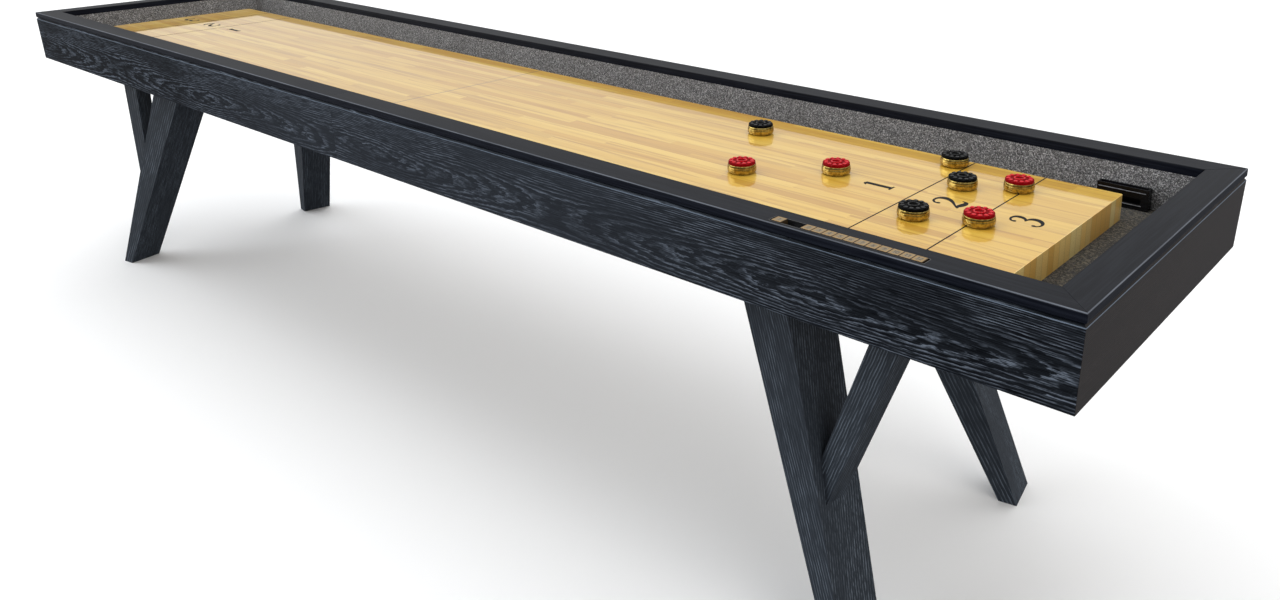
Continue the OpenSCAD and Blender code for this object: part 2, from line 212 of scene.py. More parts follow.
# ---------------------------------------------------------------- stained ash
HEART = 0.030  # depth of the arched figure in a board
BAND = 0.036  # half height of that figure
LIP_LOW, LIP_HIGH = 0.0048, 0.0031  # the cabinet's chamfer, below each board's top edge
LIP_SOFT = 0.0006
SHEEN_AT = 0.30  # where along the table the painted sheen is brightest


def ash(name, direction, seed, centre, dark, light, spec=0.12, pitch=0.0036, wob=0.9, gain=1.0, flare=0.040,
        straight=False, top=None, sheen_tone=None):
    """Open-grain ash stained black: straight pore lines, with a tapering arched figure along a board's middle.

    pitch is the spacing of the growth lines, wob how much they wander, flare how fast the arches open and gain
    how pale the open pores are; straight leaves the arches out. top is the height of the board's top edge, whose
    chamfer gets a painted highlight. The last argument is a paler base colour, a painted sheen around the table's
    middle."""
    m = Mat(name, spec=spec)
    u, v, w = m.along(m.vmath("SUBTRACT", m.p, tuple(centre)), direction)
    us = m.plus(u, seed)
    deep = m.plus(w, seed)
    slow = m.noise(m.vec(m.mul(us, 1.6), m.mul(v, 2.0), seed), detail=1.0)
    vv = m.plus(v, m.mul(m.less(slow, 0.5), 0.050))
    ragged = m.noise(m.vec(m.mul(us, 34.0), m.mul(v, 150.0), deep), detail=3.0, rough=0.65)
    sway = m.noise(m.vec(m.mul(us, 5.0), m.mul(v, 14.0), deep))
    fall = m.math("EXPONENT", m.mul(m.mul(vv, vv), -1.0 / (BAND * BAND)))
    if straight:
        d = m.mul(v, 0.82)
    else:
        # far from the middle the lines run straight; near it they arch over
        near = m.math("SQRT", m.plus(m.mul(vv, vv), HEART * HEART))
        reach = m.mul(m.math("PINGPONG", us, 0.62), flare)
        d = m.plus(near, m.mul(reach, m.plus(m.mul(fall, 0.8), 0.2)))
    wander = m.plus(m.mul(sway, 2.4 * wob), m.mul(ragged, m.plus(m.mul(fall, 1.5 * wob), 0.5)))
    ring = m.plus(m.over(m.plus(d, m.mul(w, 0.55)), pitch), wander)
    early = m.ramp(m.math("FRACT", ring), (0.0, 0.0), (0.20, 1.0), (0.42, 0.35), (0.66, 0.0), (1.0, 0.0))
    pore = m.ramp(m.grain((us, v, w), (26, 560, 560), rough=0.6), (0.38, 0.05), (0.62, 1.0))
    patch = m.ramp(m.grain((us, v, w), (3.4, 20, 20)), (0.36, 0.30), (0.60, 1.0))
    # painted sheen: the dark base turns to a paler colour around the table's middle
    if sheen_tone:
        far = m.step(m.size(m.less(u, SHEEN_AT)), 0.45, 1.30)
        dark = m.mix(far, sheen_tone, dark)
        patch = m.mul(patch, m.plus(m.mul(far, 0.15), 0.85))
    line = m.mul(m.mul(early, pore), m.mul(patch, gain))
    fibre = m.grain((us, v, w), (16, 950, 950), rough=0.7)
    tone = m.plus(line, m.mul(m.less(fibre, 0.40), 0.34), clamp=True)
    colour = m.mix(tone, dark, light)
    # painted highlight: a paler colour along the chamfer just below the board's top edge
    if top:
        z = m.xyz(m.p)[2]
        low, high = top - LIP_LOW, top - LIP_HIGH
        edge_highlight = m.mul(m.step(z, low, low + LIP_SOFT), m.below(z, high - LIP_SOFT, high))
        colour = m.mix(m.mul(edge_highlight, m.ramp(sway, (0.2, 0.60), (0.6, 1.0))), colour, (0.160, 0.200, 0.260))
    m.set("Base Color", colour)
    m.set("Roughness", m.plus(m.mul(line, 0.16), m.plus(m.mul(fibre, 0.10), 0.45)))
    m.bump(m.plus(line, m.mul(fibre, 0.35)), 0.0005, 0.6)
    return m.m


def put(node, material):
    nodes[node].data.materials.clear()
    nodes[node].data.materials.append(material)


def bevel(o, width, segments, angle):
    b = o.modifiers.new("ease", "BEVEL")
    b.width, b.segments, b.limit_method, b.angle_limit = width, segments, "ANGLE", math.radians(angle)
    b.harden_normals = True
    b.use_clamp_overlap = True


def ease(node, width=0.0008, segments=2):
    """Rounds the node's sharp edges slightly, as sanding and finish do."""
    o = nodes[node]
    if "custom_normal" in o.data.attributes:
        o.data.attributes.remove(o.data.attributes["custom_normal"])
    o.data.polygons.foreach_set("use_smooth", [True] * len(o.data.polygons))
    weld = o.modifiers.new("weld", "WELD")
    weld.merge_threshold = 2e-6
    bevel(o, width, segments, 28)


def axis_of(node):
    """The node's long direction and its middle, from its own points."""
    co = np.array([v.co for v in nodes[node].data.vertices], float)
    mid = co.mean(0)
    d = np.linalg.svd(co - mid, full_matrices=False)[2][0]
    return Vector(d if d[2] > 0 else -d), Vector(mid)


# the long aprons' paler base colour at the table's middle is a painted sheen
LONG_STAIN = dict(dark=(0.0030, 0.0038, 0.0055), light=(0.185, 0.218, 0.272), sheen_tone=(0.0230, 0.0265, 0.0330),
                  spec=0.025)
# painted light: the end aprons get their own grey-brown colours, standing in for the warm, dim light on the end
# faces
END_LIGHT_TINT = dict(dark=(0.022, 0.0195, 0.0195), light=(0.085, 0.075, 0.073), flare=0.01, gain=0.6)
LEG_STAIN = dict(dark=(0.0215, 0.0265, 0.0340), light=(0.185, 0.222, 0.272), pitch=0.0042, wob=0.32, gain=0.75,
                 straight=True)
for i, n in enumerate(("apron_front_left", "apron_front_right", "apron_back_left", "apron_back_right")):
    lo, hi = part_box(n)
    face = (0, lo.y if lo.y < 0 else hi.y, lo.z + 0.050)
    put(n, ash("ash_" + n, (1, 0, 0), 3.1 + 1.7 * i, face, top=hi.z, **LONG_STAIN))
    ease(n)
for i, n in enumerate(("apron_left", "apron_right")):
    lo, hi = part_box(n)
    face = (lo.x if lo.x < 0 else hi.x, 0, lo.z - 0.02)
    put(n, ash("ash_" + n, (0, 1, 0), 1.3 + 2.9 * i, face, top=hi.z, **END_LIGHT_TINT))
    ease(n)
for i, n in enumerate(sorted(x for x in nodes if x.startswith(("leg_", "brace_")))):
    direction, mid = axis_of(n)
    put(n, ash("ash_" + n, direction, 0.7 + 1.1 * i, mid, **LEG_STAIN))
    ease(n)


# ---------------------------------------------------------------- satin rails
def rail(name, direction, seed, outer, top):
    """Satin black cap rail with faint grain, a painted highlight along its outer top edge and painted shade on its
    sides.

    outer is that edge's distance from the table's middle line, and top is its height."""
    m = Mat(name, spec=0.05)
    u, v, w = m.along(m.p, direction)
    u = m.plus(u, seed)
    streak = m.grain((u, v, w), (7, 260, 260), 3.0, 0.65)
    cloud = m.grain((u, v, w), (2.2, 9, 9))
    fine = m.noise(m.p, 900)
    x, y, z = m.xyz(m.p)
    reach = m.size(x if abs(direction[1]) > 0.5 else y)
    # painted highlight: a paler colour along the rail's outer top edge
    edge_highlight = m.mul(m.step(reach, outer - 0.0022, outer - 0.0010), m.step(z, top - 0.0020, top - 0.0009))
    edge_highlight = m.mul(edge_highlight, m.ramp(streak, (0.25, 0.45), (0.7, 1.0)))
    # painted shade: the rail's faces below its top get a darker colour than the top
    up_face = m.step(z, top - 0.0035, top - 0.0012)
    streaks = m.ramp(streak, (0.3, 0.0), (0.75, 1.0))
    body = m.mix(streaks, (0.0080, 0.0088, 0.0115), (0.0175, 0.0192, 0.0240))
    side = m.mix(streaks, (0.003, 0.004, 0.008), (0.014, 0.017, 0.026))
    m.set("Base Color", m.mix(edge_highlight, m.mix(up_face, side, body), (0.150, 0.165, 0.195)))
    m.set("Roughness", m.plus(m.mul(cloud, 0.10), m.plus(m.mul(streak, 0.10), 0.34)))
    m.bump(m.plus(streak, m.mul(fine, 0.3)), 0.00012, 0.5)
    return m.m


for i, n in enumerate(sorted(x for x in nodes if x.startswith("rail_"))):
    end = n in ("rail_left", "rail_right")
    lo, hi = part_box(n)
    outer = max(abs(lo.x), abs(hi.x)) if end else max(abs(lo.y), abs(hi.y))
    put(n, rail("satin_" + n, (0, 1, 0) if end else (1, 0, 0), 0.37 * i, outer, hi.z))
    ease(n, 0.0012, 3)

# ---------------------------------------------------------------- carpet
GUTTER_LOW, GUTTER_HIGH = 0.7207, 0.7235  # heights between which the gutter floor's pile turns to the wall's


def carpet():
    """Speckled loop carpet, darker and browner on the gutter floor than on the walls; the floor's darkness is
    painted shade.
    """
    m = Mat("carpet_charcoal", rough=0.95, spec=0.15)
    grey = m.xyz(m.cells(m.p, 640, out="Color"))[0]
    fleck = m.xyz(m.cells(m.vmath("ADD", m.p, (3.1, 1.7, 0.4)), 430, out="Color"))[1]
    tone = m.plus(m.mul(grey, 0.6), m.mul(fleck, 0.4))
    wall = m.ramp(tone, (0.10, (0.035, 0.035, 0.036)), (0.42, (0.130, 0.130, 0.134)),
                  (0.66, (0.290, 0.290, 0.298)), (0.90, (0.80, 0.79, 0.80)), smooth=False)
    wall = m.mix(m.ramp(m.noise(m.p, 9), (0.3, 0.0), (0.7, 0.22)), wall, (0.11, 0.105, 0.10))
    loops = m.xyz(m.cells(m.p, 300, out="Color"))[0]
    floor = m.ramp(loops, (0.15, (0.004, 0.0035, 0.0025)), (0.60, (0.036, 0.030, 0.020)),
                   (0.95, (0.150, 0.128, 0.085)), smooth=False)
    # painted shade: the gutter floor gets a much darker colour than the carpet on the walls
    at_floor = m.below(m.xyz(m.p)[2], GUTTER_LOW, GUTTER_HIGH)
    m.set("Base Color", m.mix(m.mul(at_floor, 0.92), wall, floor))
    m.bump(m.plus(m.cells(m.p, 640), m.mul(m.noise(m.p, 1300), 0.6)), 0.0016, 0.9)
    m.set("Sheen Weight", 0.15)
    m.set("Sheen Roughness", 0.6)
    return m.m


CARPET = carpet()
for n in ("carpet_left", "carpet_right"):
    put(n, CARPET)
    ease(n, 0.0012)

# ---------------------------------------------------------------- maple playfield
STRIP = 0.0238  # width of a maple strip


def maple():
    """Random-length maple strips laid along X, with end grain on the two ends, under a thick clear coat."""
    m = Mat("maple_strips", rough=0.36, spec=0.4)
    end_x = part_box("playfield_right")[1].x
    x, y, z = m.xyz(m.p)
    strips = m.over(m.plus(y, 1.0), STRIP)
    row = m.math("FLOOR", strips)
    start = m.white(m.vec(row, 3.7, 1.1))
    length = m.plus(m.mul(m.white(m.vec(row, 9.2, 5.3)), 0.45), 0.42)
    piece = m.math("FLOOR", m.over(m.plus(x, m.plus(m.mul(start, 3.0), 4.0)), length))
    tone = m.white(m.vec(row, piece, 2.5))
    warm = m.white(m.vec(row, piece, 7.9))
    gx = m.plus(m.mul(x, 2.4), m.mul(tone, 40))
    streak = m.grain((gx, y, z), (1, 58, 58), 3.0, 0.62, 0.5)
    line = m.grain((gx, y, z), (2.6, 420, 420), rough=0.6)
    fleck = m.grain((gx, y, z), (22, 500, 500), 1.0)
    base = m.ramp(tone, (0.0, (0.58, 0.320, 0.028)), (0.35, (0.65, 0.395, 0.050)),
                  (0.75, (0.72, 0.470, 0.080)), (1.0, (0.54, 0.285, 0.022)))
    base = m.mix(m.ramp(warm, (0.86, 0.0), (1.0, 0.40)), base, (0.40, 0.20, 0.018))
    base = m.mix(m.ramp(streak, (0.46, 0.0), (0.70, 0.80)), base, (0.42, 0.210, 0.016))
    base = m.mix(m.ramp(line, (0.52, 0.0), (0.80, 0.22)), base, (0.34, 0.17, 0.014))
    base = m.mix(m.ramp(fleck, (0.70, 0.0), (0.80, 0.20)), base, (0.22, 0.10, 0.015))
    edge = m.size(m.less(m.math("FRACT", strips), 0.5))
    base = m.mix(m.mul(m.step(edge, 0.485, 0.5), 0.16), base, (0.22, 0.11, 0.02))
    middle_joint = m.below(m.size(x), 0.0011, 0.0024)
    base = m.mix(m.mul(middle_joint, 0.80), base, (0.075, 0.038, 0.010))
    sway = m.mul(m.noise(m.vec(0, m.mul(y, 60), m.mul(z, 30))), 7)
    rings = m.plus(m.plus(m.mul(z, 190), sway), m.mul(tone, 9))
    rings = m.ramp(m.math("FRACT", rings), (0.0, 0.0), (0.7, 0.35), (0.95, 1.0), (1.0, 0.0))
    end = m.ramp(m.white(m.vec(row, 4.4, 8.8)), (0.0, (1.0, 0.62, 0.150)), (0.5, (1.0, 0.78, 0.30)),
                 (1.0, (0.84, 0.46, 0.075)))
    end = m.mix(m.mul(rings, 0.30), end, (0.50, 0.31, 0.06))
    end = m.mix(m.mul(m.step(edge, 0.45, 0.5), 0.6), end, (0.34, 0.19, 0.04))
    at_end = m.step(m.size(x), end_x - 0.0012, end_x - 0.0006)
    m.set("Base Color", m.mix(at_end, base, end))
    m.bump(m.plus(m.mul(line, 0.5), m.mul(rings, m.mul(at_end, 1.5))), 0.00008, 0.4)
    m.set("Coat Weight", 1.0)
    m.set("Coat Roughness", 0.025)
    m.set("Coat IOR", 1.46)
    return m.m


MAPLE = maple()
for n in ("playfield_left", "playfield_right"):
    put(n, MAPLE)
    ease(n, 0.0010, 3)


# ---------------------------------------------------------------- small materials
def speckled(name, a, b, rough, scale=300, metal=0.0, spec=0.5, bump=0.0002, spread=0.12):
    """A finish with mottled colour and roughness and a fine surface texture."""
    m = Mat(name, metal=metal, spec=spec)
    cloud = m.noise(m.p, scale / 9, 3.0, 0.6)
    fine = m.noise(m.p, scale * 4, 3.0, 0.6)
    mask = m.ramp(m.plus(m.mul(cloud, 0.7), m.mul(fine, 0.3)), (0.35, 0.0), (0.68, 1.0))
    m.set("Base Color", m.mix(mask, a, b))
    m.set("Roughness", m.plus(m.mul(mask, spread), rough))
    m.bump(fine, bump, 0.5)
    return m.m


def plank(name, a, b, direction, coarse):
    """Plain sawn timber or ply with long grain."""
    m = Mat(name, spec=0.3)
    axes = m.along(m.p, direction)
    g = m.grain(axes, (5, coarse, coarse), 4.0, 0.6, 0.4)
    fine = m.grain(axes, (40, 900, 900))
    m.set("Base Color", m.mix(m.ramp(g, (0.32, 0.0), (0.70, 1.0)), a, b))
    m.set("Roughness", m.plus(m.mul(g, 0.2), 0.5))
    m.bump(m.plus(g, m.mul(fine, 0.6)), 0.0003, 0.6)
    return m.m


STEEL = speckled("zinc_steel", (0.42, 0.43, 0.45), (0.60, 0.61, 0.62), 0.30, 260, metal=1.0)
TRACK = speckled("track_black", (0.008, 0.008, 0.009), (0.020, 0.020, 0.022), 0.34, 400)
GLOSS = speckled("holder_gloss", (0.0025, 0.0025, 0.0035), (0.0060, 0.0060, 0.0075), 0.20, 120, spec=0.30,
                 spread=0.08)
# the ribs' pale colour is a painted highlight, standing in for light caught on their edges
RIB_HIGHLIGHT = speckled("holder_rib_highlight", (0.16, 0.165, 0.18), (0.26, 0.265, 0.28), 0.22, 700, bump=0.00004)
PLY = plank("deck_ply", (0.36, 0.25, 0.14), (0.50, 0.37, 0.22), (1, 0, 0), 120)
BEAM = plank("frame_timber", (0.30, 0.20, 0.10), (0.46, 0.33, 0.18), (0, 1, 0), 90)
for n, material, width in (("frame_bolts", STEEL, 0.0004), ("climate_adjusters", STEEL, 0.0004),
                           ("scorer_track", TRACK, 0.0004), ("deck_left", PLY, 0.0008),
                           ("deck_right", PLY, 0.0008), ("cross_boards", BEAM, 0.0012)):
    put(n, material)
    ease(n, width)


# ---------------------------------------------------------------- mesh helpers
def new_object(name, verts, faces, material, smooth=True, sharp=35):
    me = bpy.data.meshes.new(name)
    me.from_pydata([tuple(v) for v in verts], [], faces)
    me.validate()
    me.polygons.foreach_set("use_smooth", [smooth] * len(me.polygons))
    if smooth:
        me.set_sharp_from_angle(angle=math.radians(sharp))
    me.materials.append(material)
    o = bpy.data.objects.new(name, me)
    scene.collection.objects.link(o)
    return o


def smooth_path(points, per):
    """Catmull-Rom through rows of numbers: x, y and half width."""
    p = np.array(points, float)
    p = np.vstack([2 * p[0] - p[1], p, 2 * p[-1] - p[-2]])
    out = []
    for a, b, c, d in zip(p, p[1:], p[2:], p[3:]):
        for t in np.arange(per) / per:
            square = 2 * a - 5 * b + 4 * c - d
            cube = 3 * b - a - 3 * c + d
            out.append(0.5 * (2 * b + (c - a) * t + square * t * t + cube * t ** 3))
    out.append(p[-2])
    return np.array(out)


def prism(outline, top, depth):
    """A closed prism from a strip's two sides: outline is (left points, right points)."""
    left, right = outline
    n = len(left)
    v = [(x, y, top) for x, y in left] + [(x, y, top) for x, y in right]
    v += [(x, y, top - depth) for x, y, _ in v]
    f = []
    for i in range(n - 1):
        f.append((i, n + i, n + i + 1, i + 1))
        f.append((2 * n + i, 2 * n + i + 1, 3 * n + i + 1, 3 * n + i))
        f.append((i, i + 1, 2 * n + i + 1, 2 * n + i))
        f.append((n + i + 1, n + i, 3 * n + i, 3 * n + i + 1))
    f.append((0, 2 * n, 3 * n, n))
    f.append((n - 1, 2 * n - 1, 4 * n - 1, 3 * n - 1))
    return v, f


def stroke(points, per=10):
    """Sides of a pen stroke whose width changes along it."""
    q = smooth_path(points, per)
    d = np.gradient(q[:, :2], axis=0)
    d /= np.linalg.norm(d, axis=1)[:, None] + 1e-12
    across = np.stack([-d[:, 1], d[:, 0]], 1)
    w = np.maximum(q[:, 2], 0.002)[:, None]
    return q[:, :2] + across * w, q[:, :2] - across * w


def dot(x, y, r):
    """Sides of a round pen dot, as a strip."""
    t = np.linspace(0, math.pi, 24)
    a = np.stack([x + r * np.cos(t), y + r * np.sin(t)], 1)
    b = np.stack([x + r * np.cos(t), y - r * np.sin(t)], 1)
    return a, b


def gather(parts):
    """Several (verts, faces) as one."""
    verts, faces = [], []
    for v, f in parts:
        k = len(verts)
        verts += v
        faces += [tuple(i + k for i in q) for q in f]
    return verts, faces


def block(x0, x1, y0, y1, z0, z1):
    """A box as verts and faces."""
    v = [(x, y, z) for z in (z0, z1) for y in (y0, y1) for x in (x0, x1)]
    return v, [(0, 2, 3, 1), (4, 5, 7, 6), (0, 1, 5, 4), (2, 6, 7, 3), (0, 4, 6, 2), (1, 3, 7, 5)]


# ---------------------------------------------------------------- holder
def holder():
    """Open-topped moulded box with two ribs and a window in its front wall; the ribs' pale colour is a painted
    highlight.
    """
    lo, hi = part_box("accessory_holder")
    cx, wall = (lo.x + hi.x) / 2, 0.004
    x0, x1, y0, y1, z0, z1 = lo.x, hi.x, lo.y + 0.001, hi.y, lo.z, hi.z
    inner_y, front = lo.y + wall, (y0, lo.y + wall)
    sill, head = z0 + 0.012, z0 + 0.023
    window_left, window_right = cx - 0.008, cx + 0.036
    moulding = [
        block(x0, x1, y0, y1, z0, z0 + wall),
        block(x0, x1, y1 - wall, y1, z0 + wall, z1),
        block(x0, x0 + wall, inner_y, y1 - wall, z0 + wall, z1),
        block(x1 - wall, x1, inner_y, y1 - wall, z0 + wall, z1),
        block(x0, x1, *front, head, z1),
        block(x0, x1, *front, z0 + wall, sill),
        block(x0, window_left, *front, sill, head),
        block(window_right, x1, *front, sill, head)]
    proud = (lo.y, lo.y + 0.0022)
    ribs = [block(x0 + 0.003, x1 - 0.006, *proud, z0 + 0.0350, z0 + 0.0366),
            block(cx - 0.010, cx + 0.038, *proud, z0 + 0.0085, z0 + 0.0101)]
    for name, shape, mat in (("holder_moulding", moulding, GLOSS), ("holder_ribs", ribs, RIB_HIGHLIGHT)):
        o = new_object(name, *gather(shape), mat, sharp=30)
        bevel(o, 0.0005, 3, 30)
        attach(o, "table")
        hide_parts("accessory_holder")


holder()

# ---------------------------------------------------------------- zone lines and numerals
# Each numeral is about one unit tall, centred on 0, as strokes of x, y and half width
NUMERALS = {
    "1": [[(0.0, 0.47, 0.055), (0.0, 0.1, 0.055), (0.0, -0.2, 0.055), (0.0, -0.47, 0.055)],
          [(-0.17, 0.36, 0.008), (-0.08, 0.42, 0.030), (0.0, 0.485, 0.026)],
          [(-0.16, -0.478, 0.018), (-0.06, -0.47, 0.024), (0.06, -0.47, 0.024), (0.16, -0.478, 0.018)]],
    "2": [[(-0.24, 0.24, 0.030), (-0.225, 0.36, 0.026), (-0.12, 0.455, 0.024), (0.02, 0.475, 0.028),
           (0.15, 0.42, 0.045), (0.225, 0.29, 0.062), (0.20, 0.12, 0.055), (0.08, -0.06, 0.036),
           (-0.09, -0.22, 0.024), (-0.25, -0.37, 0.018), (-0.30, -0.43, 0.018)],
          [(-0.30, -0.42, 0.018), (-0.20, -0.375, 0.040), (-0.08, -0.40, 0.062), (0.06, -0.44, 0.066),
           (0.20, -0.44, 0.046), (0.27, -0.36, 0.024), (0.29, -0.27, 0.012)]],
    "3": [[(-0.22, 0.30, 0.030), (-0.20, 0.39, 0.024), (-0.10, 0.465, 0.022), (0.03, 0.47, 0.030),
           (0.14, 0.40, 0.048), (0.165, 0.27, 0.054), (0.11, 0.13, 0.036), (0.0, 0.055, 0.020),
           (-0.06, 0.04, 0.016)],
          [(-0.04, 0.045, 0.016), (0.08, 0.02, 0.030), (0.19, -0.07, 0.054), (0.215, -0.21, 0.060),
           (0.14, -0.36, 0.048), (0.0, -0.455, 0.030), (-0.15, -0.455, 0.022), (-0.245, -0.38, 0.024),
           (-0.26, -0.30, 0.030)]],
}
DOTS = {"1": [], "2": [(-0.225, 0.235, 0.062)], "3": [(-0.205, 0.295, 0.058), (-0.245, -0.295, 0.060)]}
INK = speckled("marking_ink", (0.006, 0.006, 0.007), (0.018, 0.017, 0.017), 0.55, 700, bump=0.00004, spec=0.1)
ZONE = 0.1524  # length of a scoring zone
NUMERAL = 0.062  # height of a numeral
WIDER = 1.08  # its width against its height
BOLDER = 1.5  # its strokes' width against the table above
HALF_LINE = 0.0014
LAYER = 0.000012  # keeps the strokes' crossings apart


def zone_marks():
    """Two lines across and three numerals at each end; the numerals are read from that end."""
    lo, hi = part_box("score_marks")
    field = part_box("playfield_right")[1]
    ys = np.linspace(lo.y, hi.y, 12)
    parts = []
    for s in (1, -1):
        for k in (1, 2):
            x = field.x - k * ZONE
            sides = [[(s * (x + half), s * y) for y in ys] for half in (HALF_LINE, -HALF_LINE)]
            parts.append(prism(sides, hi.z, hi.z - field.z))
        for k, digit in enumerate("321"):
            cx = field.x - (k + 0.5) * ZONE - 0.004
            shapes = [stroke([(x, y, w * BOLDER) for x, y, w in p]) for p in NUMERALS[digit]]
            shapes += [dot(*p) for p in DOTS[digit]]
            for j, shape in enumerate(shapes):
                sides = [[(s * (cx - v * NUMERAL), s * (u * NUMERAL * WIDER)) for u, v in q] for q in shape]
                top = hi.z - LAYER * j
                parts.append(prism(sides, top, top - field.z))
    return gather(parts)


marks = new_object("zone_marks", *zone_marks(), INK, smooth=False)
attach(marks, "table")
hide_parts("score_marks")


# ---------------------------------------------------------------- pucks
def brass():
    """Aged gold-toned metal with soft stains."""
    m = Mat("aged_brass", metal=1.0)
    stain = m.noise(m.p, 160, 4.0, 0.65)
    small = m.noise(m.p, 900, 3.0)
    mask = m.ramp(stain, (0.38, 0.0), (0.66, 1.0))
    m.set("Base Color", m.mix(mask, (0.56, 0.410, 0.115), (0.22, 0.150, 0.034)))
    m.set("Roughness", m.plus(m.mul(mask, 0.12), m.plus(m.mul(small, 0.06), 0.10)))
    m.bump(m.plus(m.mul(small, 0.4), stain), 0.00006, 0.15)
    return m.m


def cap_finish(name, a, b, top):
    """Glossy moulding, with painted shade darkening the creases between its petals, which are also duller there;
    top is its height.
    """
    m = Mat(name)
    cloud = m.noise(m.p, 90, 3.0)
    fine = m.noise(m.p, 2600)
    scuff = m.noise(m.vmath("MULTIPLY", m.p, (400, 1800, 900)), 1.0, 3.0, 0.7)
    body = m.mix(m.ramp(cloud, (0.35, 0.0), (0.7, 1.0)), a, b)
    # painted shade: below the petal tops the colour turns dark and the surface duller and less specular
    crease_shade = m.below(m.xyz(m.p)[2], top - 0.0024, top - 0.0006)
    m.set("Base Color", m.mix(m.mul(crease_shade, 0.72), body, tuple(c * 0.12 for c in a)))
    m.set("Roughness", m.plus(m.mul(scuff, 0.12), m.plus(m.mul(crease_shade, 0.35), 0.14)))
    m.set("Specular IOR Level", m.less(0.20, m.mul(crease_shade, 0.16)))
    m.bump(m.plus(fine, m.mul(scuff, 0.5)), 0.00012, 0.4)
    return m.m


def turned(n, bottom, rings, top):
    """A closed mesh in metres from rings of n points in millimetres between two poles."""
    v = [bottom] + [p for ring in rings for p in ring] + [top]
    f = []
    last = 1 + (len(rings) - 1) * n
    for i in range(n):
        j = (i + 1) % n
        f.append((0, 1 + j, 1 + i))
        for a in range(1, last, n):
            f.append((a + i, a + j, a + n + j, a + n + i))
        f.append((last + i, last + j, len(v) - 1))
    return [(x / 1000, y / 1000, z / 1000) for x, y, z in v], f


def circle(n, r, z):
    """n points around Z; r and z are numbers or functions of the point's number and its angle."""
    of = lambda value, i, a: value(i, a) if callable(value) else value
    points = [(i, 2 * math.pi * i / n) for i in range(n)]
    return [(of(r, i, a) * math.cos(a), of(r, i, a) * math.sin(a), of(z, i, a)) for i, a in points]


BASE_N, BASE_H = 120, 17.6  # points around the metal body, and the height that its outline is drawn for
KNURL = 0.07  # height of the knurled band's ridges, in millimetres
CAP_N, PETALS = 144, 12  # points around the cap, and its petals


def base_mesh(h, r):
    """The metal body: convex wall with a fine knurled band, a dark shoulder groove and a rounded foot.

    h is its height and r its radius, in millimetres; the outline's points are (depth in from r, height)."""
    foot = [(4.6, 0), (3.6, 0.12), (2.7, 0.45), (1.8, 1.1), (1.2, 2.0), (0.62, 3.2), (0.50, 3.6), (0.68, 3.85),
            (0.66, 4.1), (0.30, 4.5), (0.12, 5.6)]
    knurled = [(0.02, 7.0), (0, 8.2), (0.06, 9.6), (0.18, 11.0)]
    shoulder = [(0.30, 12.0), (0.55, 12.25), (0.55, 12.5), (0.45, 12.8), (0.72, 14.4), (1.0, 16.0),
                (1.3, 17.0), (1.62, 17.5), (1.95, 17.6), (2.02, 17.4), (2.02, 14.6)]
    outline = [(r * 0.6, 0)] + foot + knurled + shoulder
    rings = []
    for depth, z in outline:
        ridge = KNURL if (depth, z) in knurled else 0
        rings.append(circle(BASE_N, lambda i, a: r - depth + ridge * (1 if i % 2 else -1), z * h / BASE_H))
    return turned(BASE_N, (0, 0, 0), rings, (0, 0, outline[-1][1] * h / BASE_H))


def cap_mesh(h, r):
    """The moulded cap: a ring of domed petals, a raised centre ring and a dished middle.

    h is its full height and r its radius, in millimetres."""
    petal_at = r - 6.0

    def height(rr, a):
        around = math.acos(max(-1, min(1, math.cos(PETALS * a)))) / PETALS * petal_at
        lobe = math.hypot((rr - petal_at) / 1.12, around)
        z = h - 2.9
        z += 2.75 * max(0.0, 1 - (lobe / 4.75) ** 2) ** 0.55
        z -= 0.9 * math.exp(-(lobe / 1.5) ** 2)
        z += 2.6 * math.exp(-((rr - 9.6) / 1.7) ** 4)
        if rr < 8.0:
            z -= 0.2 - 0.9 * math.exp(-(rr / 2.6) ** 2)
        return min(z, h)

    side = [(r - 8, 0.0), (r - 0.55, 0.0), (r - 0.10, 0.35), (r, 1.0), (r, h - 4.4), (r - 0.12, h - 3.7),
            (r - 0.5, h - 3.1)]
    petals, ring, dish = np.linspace(r - 1.0, 12.0, 34), np.linspace(11.7, 6.0, 20), np.linspace(5.5, 0.6, 8)
    rings = [circle(CAP_N, rr, z) for rr, z in side]
    rings += [circle(CAP_N, rr, lambda i, a: height(rr, a)) for rr in np.concatenate([petals, ring, dish])]
    return turned(CAP_N, (0, 0, 0), rings, (0, 0, height(0, 0)))


cap_lo, cap_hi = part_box("puck_red_1_cap")
CAP_H = cap_hi.z - cap_lo.z
BRASS = brass()
PAINTS = {"red": cap_finish("cap_red_moulded", (0.50, 0.0015, 0.007), (0.62, 0.003, 0.012), CAP_H),
          "black": cap_finish("cap_black_moulded", (0.0022, 0.0024, 0.0026), (0.0060, 0.0066, 0.0072), CAP_H)}
SMALLER = 0.02  # millimetres taken off a puck's radius
meshes = {}


def puck_piece(body, node, name, slot, shape, material, turn):
    """One piece of a puck in its CAD node's place, on its base's axis; pieces with the same slot share one mesh."""
    base_lo, base_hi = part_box(body + "_base")
    axis = (base_lo + base_hi) / 2
    lo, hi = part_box(node)
    if slot not in meshes:
        made = shape((hi.z - lo.z) * 1000, (hi.x - lo.x) * 500 - SMALLER)
        o = new_object(name, *made, material, sharp=48)
        meshes[slot] = o.data
    else:
        o = bpy.data.objects.new(name, meshes[slot])
        scene.collection.objects.link(o)
    o.location = (axis.x, axis.y, lo.z)
    o.rotation_euler = (0, 0, turn)
    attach(o, body)
    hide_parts(node)


for colour, paint in PAINTS.items():
    for k in range(1, 5):
        body = f"puck_{colour}_{k}"
        turn = 0.61 * k + (1.3 if colour == "red" else 0)
        puck_piece(body, body + "_base", body + "_turned_base", "puck_metal", base_mesh, BRASS, turn)
        puck_piece(body, body + "_cap", body + "_moulded_cap", "cap_" + colour, cap_mesh, paint, turn)

